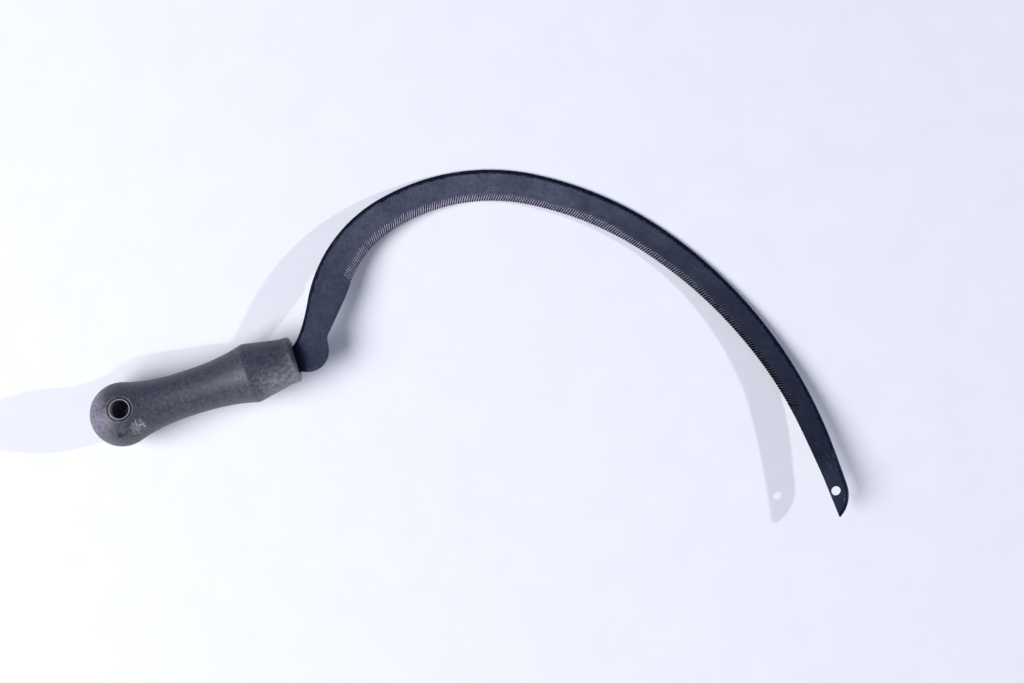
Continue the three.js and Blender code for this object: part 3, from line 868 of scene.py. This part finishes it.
class Shader:
    """A material's nodes, one short call for each."""

    def __init__(self, name):
        self.material = bpy.data.materials.new(name)
        self.material.use_nodes = True
        self.tree = self.material.node_tree
        self.surface = self.tree.nodes["Principled BSDF"]

    def feed(self, node, inputs):
        """Links a node's inputs to sockets, and sets the others to constants."""
        for key, value in inputs.items():
            if isinstance(value, bpy.types.NodeSocket):
                self.tree.links.new(value, node.inputs[key])
            else:
                node.inputs[key].default_value = value

    def node(self, kind, inputs, settings=None, output=0):
        """Adds a node with its inputs, and gives one of its outputs."""
        made = self.tree.nodes.new("ShaderNode" + kind)
        for key, value in (settings or {}).items():
            setattr(made, key, value)
        self.feed(made, inputs)
        return made.outputs[output]

    def place(self):
        """Object coordinates in metres."""
        return self.node("TexCoord", {}, output="Object")

    def measure(self, name):
        """A measure that was laid on the vertices, mostly in millimetres."""
        return self.node("Attribute", {}, {"attribute_name": name}, output="Fac")

    def combine(self, x, y, z):
        return self.node("CombineXYZ", {"X": x, "Y": y, "Z": z})

    def noise(self, vector, scale, detail=2.0, roughness=0.5, distortion=0.0):
        inputs = {"Vector": vector, "Scale": scale, "Detail": detail}
        inputs.update({"Roughness": roughness, "Distortion": distortion})
        return self.node("TexNoise", inputs, output="Fac")

    def math(self, operation, a, b=0.0):
        return self.node("Math", {0: a, 1: b}, {"operation": operation})

    def times(self, a, b):
        return self.math("MULTIPLY", a, b)

    def ramp(self, value, low, high, new_low=0.0, new_high=1.0, kind="LINEAR"):
        """A value moved from one range to another, and kept within it."""
        inputs = {"Value": value, "From Min": low, "From Max": high}
        inputs.update({"To Min": new_low, "To Max": new_high})
        return self.node("MapRange", inputs, {"interpolation_type": kind})

    def scaled(self, value, low, high, new_low=0.0, new_high=1.0):
        """A ramp with eased ends."""
        return self.ramp(value, low, high, new_low, new_high, "SMOOTHSTEP")

    def band(self, value, start, full, fading, end, top=1.0):
        """0 outside a range of a value and 1 within it, with eased edges."""
        return self.times(self.scaled(value, start, full), self.scaled(value, fading, end, top, 0.0))

    def millimetres(self, coordinate, origin):
        """A coordinate in millimetres from an origin given in metres."""
        return self.times(self.math("SUBTRACT", coordinate, origin), 1 / MM)

    def apart(self, vector):
        """The X, Y and Z of a vector."""
        made = self.tree.nodes.new("ShaderNodeSeparateXYZ")
        self.feed(made, {0: vector})
        return made.outputs

    def near(self, place, point, full, none):
        """1 within some millimetres of a point, fading to 0."""
        points = {0: place, 1: tuple(point)}
        distance = self.node("VectorMath", points, {"operation": "DISTANCE"}, output="Value")
        return self.scaled(distance, full * MM, none * MM, 1.0, 0.0)

    def strokes(self, along, across, long_scale, fine_scale, seed):
        """Thin broken lines that run along one coordinate."""
        vector = self.combine(self.times(along, long_scale), self.times(across, fine_scale), seed)
        return self.scaled(self.noise(vector, 1.0, 2, 0.5, 0.2), 0.62, 0.7)

    def mix(self, share, a, b):
        """One colour fading into another. By number, a Mix node's colours are inputs 6 and 7."""
        a, b = ((*c, 1) if isinstance(c, tuple) else c for c in (a, b))
        return self.node("Mix", {"Factor": share, 6: a, 7: b}, {"data_type": "RGBA"}, output=2)

    def bump(self, height, strength, distance):
        inputs = {"Height": height, "Strength": strength, "Distance": distance}
        return self.node("Bump", inputs, output="Normal")

    def finish(self, inputs):
        self.feed(self.surface, inputs)
        return self.material


def blade_lacquer():
    """Blue-black lacquer, paler and rougher along the middle of the blade, where part of the paler
    colour is painted sheen. Painted shade lies beside the collar and in the teeth's grooves, and one
    filed flank of each groove is painted pale and less metallic as lit steel, a painted highlight.
    """
    s = Shader("blade_lacquer")
    place = s.place()
    along, from_edge, from_back, facet, in_groove = (s.measure(name) for name in COORDINATES)
    clouds = s.noise(place, 60, 5, 0.65)
    blotches = s.noise(place, 420, 4, 0.7)
    grain = s.noise(place, 1500, 3, 0.6)

    # Paler and rougher along the middle of the blade: the roughness is wear, and the paler colour is
    # partly painted sheen.
    sheen_and_wear = s.math("MINIMUM", s.ramp(along, *HEEL_SHEEN_AND_WEAR), s.ramp(along, *POINT_SHEEN_AND_WEAR))
    sheen_and_wear = s.times(sheen_and_wear, s.scaled(clouds, 0.3, 0.7, 0.75, 1.15))
    colour = s.mix(sheen_and_wear, FRESH_LACQUER, PALE_LACQUER)
    colour = s.mix(s.scaled(blotches, 0.35, 0.7, 0.0, 0.5), colour, LACQUER_BLOTCH)
    colour = s.mix(s.scaled(along, *TIP_WEAR, 0.0, 0.45), colour, PALE_LACQUER)
    x, _, _ = s.apart(place)
    from_collar = s.millimetres(x, handle_high.x)
    # Painted shade: near-black on the blade beside the collar, fading out within 6 mm of it.
    colour = s.mix(s.scaled(from_collar, *COLLAR_SHADE_RUN, 0.8, 0.0), colour, PAINTED_COLLAR_SHADE)
    ragged = s.math("ADD", from_back, s.times(s.noise(place, 330, 4, 0.7), SPINE_RAGGEDNESS))
    colour = s.mix(s.scaled(ragged, *SPINE_WIDTH, 0.92, 0.0), colour, DARK_SPINE)

    slant = s.math("SUBTRACT", from_edge, s.times(along, SCRATCH_SLANT))
    scratches = s.strokes(along, from_edge, 0.05, 2.2, 3)
    crossing = s.strokes(from_edge, along, 0.12, 2.0, 9)
    slanting = s.strokes(along, slant, 0.12, 2.4, 6)
    specks = s.scaled(s.noise(place, 900, 1, 0.5), 0.74, 0.8, 0.0, 0.5)
    bare = s.times(scratches, s.scaled(clouds, 0.42, 0.62, 0.05, 0.4))
    bare = s.math("MAXIMUM", bare, s.times(crossing, 0.14))
    bare = s.math("MAXIMUM", bare, s.times(slanting, s.band(along, *SCRATCHED_PATCH, 0.8)))
    bare = s.math("MAXIMUM", bare, specks)
    colour = s.mix(bare, colour, BARE_STEEL)

    # Painted light in the teeth: the grooves are darkened as painted shade, and one flank of each is
    # painted pale and less metallic as a painted highlight that fades along the blade.
    toothed = s.scaled(in_groove, 0.0, 0.15)
    lit = s.times(s.times(toothed, facet), s.scaled(blotches, 0.25, 0.6, 0.45, 1.0))
    lit = s.times(lit, s.scaled(along, *LIT_FLANK_FADE, 1.0, 0.3))
    colour = s.mix(s.times(toothed, 0.97), colour, PAINTED_GROOVE_SHADE)
    colour = s.mix(lit, colour, LIT_FLANK_STEEL)

    dulling = s.ramp(blotches, 0.3, 0.7, -0.04, 0.04)
    relief = s.math("ADD", grain, s.times(scratches, -0.6))
    return s.finish({
        "Base Color": colour,
        "Roughness": s.math("ADD", s.ramp(sheen_and_wear, 0, 1, 0.34, 0.5), dulling),
        "Normal": s.bump(relief, 0.3, 0.00006),
        "Metallic": s.math("SUBTRACT", 1.0, s.times(lit, 0.75)),
    })


def handle_plastic():
    """Charcoal plastic with a coarse moulded grain, a pale worn ring at the hole, and scuffs. Its lower
    side is paler, partly as painted light. The cone, the ball end, the nose and the hole's rim carry
    painted highlights, and the hole's mouth and wall carry painted shade.
    """
    s = Shader("handle_plastic")
    place = s.place()
    x, y, _ = s.apart(place)
    ahead, side = s.millimetres(x, ball_centre.x), s.millimetres(y, ball_centre.y)
    from_hole, from_face = s.measure("from_hole"), s.measure("from_face")
    tint = s.noise(place, 30, 3, 0.55)
    mottle = s.noise(place, 520, 3, 0.6)
    grain = s.noise(place, 1600, 2, 0.6)

    colour = s.mix(s.scaled(tint, 0.38, 0.62), GREEN_CHARCOAL, LILAC_CHARCOAL)
    # Paler towards the handle's lower side: partly wear, partly painted light.
    colour = s.mix(s.ramp(side, *LOWER_SIDE_RUN, 0.0, 0.85), colour, PALER_LOWER_SIDE)
    # Painted highlight on the lower side of the cone.
    cone = s.times(s.scaled(ahead, *CONE_HIGHLIGHT_RUN), s.ramp(side, *CONE_HIGHLIGHT_SIDE, 0.0, 0.95))
    colour = s.mix(cone, colour, CONE_HIGHLIGHT)
    # Painted highlight on the end of the ball.
    ball_highlight = s.times(s.scaled(ahead, *BALL_HIGHLIGHT_RUN, 0.7, 0.0), s.ramp(side, *BALL_HIGHLIGHT_SIDE, 0.35, 1.1))
    colour = s.mix(ball_highlight, colour, BALL_HIGHLIGHT)
    colour = s.mix(s.scaled(mottle, 0.32, 0.66, 0.65, 0.0), colour, DARK_MOTTLE)
    colour = s.mix(s.scaled(grain, 0.55, 0.75, 0.0, 0.5), colour, PALE_GRAIN)

    ring = s.times(s.band(from_hole, *RING_BAND), 0.8)
    # Painted highlights on the lower side of the nose and on one side of the hole's rim.
    nose_highlight = s.times(s.band(from_face, *NOSE_BAND), s.ramp(side, *NOSE_HIGHLIGHT_SIDE, 0.35, 1.2))
    dx, dy = s.math("SUBTRACT", ahead, HANG_HOLE_X), s.math("SUBTRACT", side, HANG_HOLE_Y)
    turned = s.math("ADD", s.times(dx, RIM_HIGHLIGHT_HEADING[0]), s.times(dy, RIM_HIGHLIGHT_HEADING[1]))
    rim_highlight = s.times(s.band(from_hole, *RIM_BAND), s.ramp(turned, *RIM_HIGHLIGHT_RUN, 1.3, 0.3))
    edge_highlights = s.math("MAXIMUM", s.times(rim_highlight, 0.7), s.times(nose_highlight, 0.6))
    edge_highlights = s.times(edge_highlights, s.scaled(mottle, 0.35, 0.6, 0.3, 1.0))
    colour = s.mix(edge_highlights, colour, EDGE_HIGHLIGHT)
    colour = s.mix(ring, colour, POLISHED_RING)
    # Painted shade in the groove round the hole's mouth and on the hole's wall.
    colour = s.mix(s.times(s.band(from_hole, *GROOVE_BAND), 0.6), colour, MOUTH_GROOVE_SHADE)
    colour = s.mix(s.times(s.scaled(from_hole, *HOLE_WALL, 0.9, 0.0), 0.5), colour, HOLE_WALL_SHADE)

    scuffs = s.math("MAXIMUM", s.strokes(x, y, 260, 1500, 4), s.strokes(y, x, 200, 1300, 5))
    near_scuff = s.near(place, SCUFF, *SCUFF_RADII)
    patch = s.times(near_scuff, s.scaled(mottle, 0.42, 0.66, 0.1, 0.75))
    colour = s.mix(patch, colour, SCUFFED_PATCH)
    everywhere = s.math("ADD", s.times(near_scuff, 0.9), 0.07)
    colour = s.mix(s.times(scuffs, everywhere), colour, SCUFF_STROKE)
    colour = s.mix(s.times(s.near(place, STAIN, *STAIN_RADII), 0.8), colour, STAIN_COLOUR)

    satin = s.scaled(mottle, 0.3, 0.7, 0.42, 0.6)
    relief = s.math("ADD", s.times(grain, 0.5), mottle)
    return s.finish({
        "Base Color": colour,
        "Roughness": s.math("SUBTRACT", satin, s.times(ring, 0.2)),
        "Normal": s.bump(relief, 0.6, 0.00022),
        "IOR": 1.5,
    })


def floor_card():
    """Plain pale card."""
    s = Shader("floor_card")
    tone = s.scaled(s.noise(s.place(), 40, 3, 0.6), 0.3, 0.7)
    colour = s.mix(tone, *FLOOR_COLOURS)
    return s.finish({"Base Color": colour, "Roughness": 0.85, "Specular IOR Level": 0.1})


# --- scene ----------------------------------------------------------------------------------


def paint(piece, material):
    piece.data.materials.clear()
    piece.data.materials.append(material)


def make_floor():
    signs = np.array([(-1, -1, -1), (1, -1, -1), (1, 1, -1), (-1, 1, -1)])
    corners = signs * (FLOOR_HALF, FLOOR_HALF, FLOOR_DROP) * MM
    floor = make_object("bench", corners, [(0, 1, 2, 3)])
    paint(floor, floor_card())


def make_camera():
    camera = bpy.data.objects.new("camera", bpy.data.cameras.new("camera"))
    bpy.context.scene.collection.objects.link(camera)
    x, y = (c * MM for c in CAMERA_PLACE)
    camera.location = (ball_centre.x + x, ball_centre.y + y, CAMERA_HEIGHT * MM)
    camera.rotation_euler = (0, 0, math.radians(CAMERA_ROLL))
    camera.data.sensor_width = SENSOR_WIDTH
    camera.data.lens = CAMERA_LENS
    camera.data.clip_start = CLIP_START * MM
    bpy.context.scene.camera = camera
    return camera


def add_light(name, camera, azimuth, elevation, distance, size, power, colour):
    """A lamp aimed at the middle of the view; its azimuth counts from the picture's right."""
    lamp = bpy.data.lights.new(name, "AREA")
    lamp.shape = "DISK"
    lamp.size = size
    lamp.energy = power
    lamp.color = colour
    light = bpy.data.objects.new(name, lamp)
    bpy.context.scene.collection.objects.link(light)
    heading = math.radians(azimuth + CAMERA_ROLL)
    tilt = math.radians(elevation)
    flat = math.cos(tilt)
    away = Vector((math.cos(heading) * flat, math.sin(heading) * flat, math.sin(tilt)))
    light.location = Vector((camera.location.x, camera.location.y, 0)) + away * distance
    light.rotation_euler = away.to_track_quat("Z", "Y").to_euler()


def light_scene(camera):
    add_light(
        "soft_key", camera, azimuth=197, elevation=44, distance=2.3, size=1.65, power=66,
        colour=(0.98, 0.98, 1.0),
    )
    add_light(
        "low_fill", camera, azimuth=5, elevation=24.5, distance=2.6, size=0.07, power=30,
        colour=(0.97, 0.97, 1.0),
    )
    world = bpy.data.worlds.new("studio")
    world.use_nodes = True
    background = world.node_tree.nodes["Background"]
    background.inputs["Color"].default_value = WORLD_COLOUR
    background.inputs["Strength"].default_value = WORLD_STRENGTH
    bpy.context.scene.world = world
    bpy.context.scene.view_settings.view_transform = "Standard"


camera = make_camera()
light_scene(camera)
make_floor()

blade = make_blade()
paint(blade, blade_lacquer())
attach(blade, "root")
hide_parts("blade")

handle = make_handle()
paint(handle, handle_plastic())
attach(handle, "root")
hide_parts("handle")
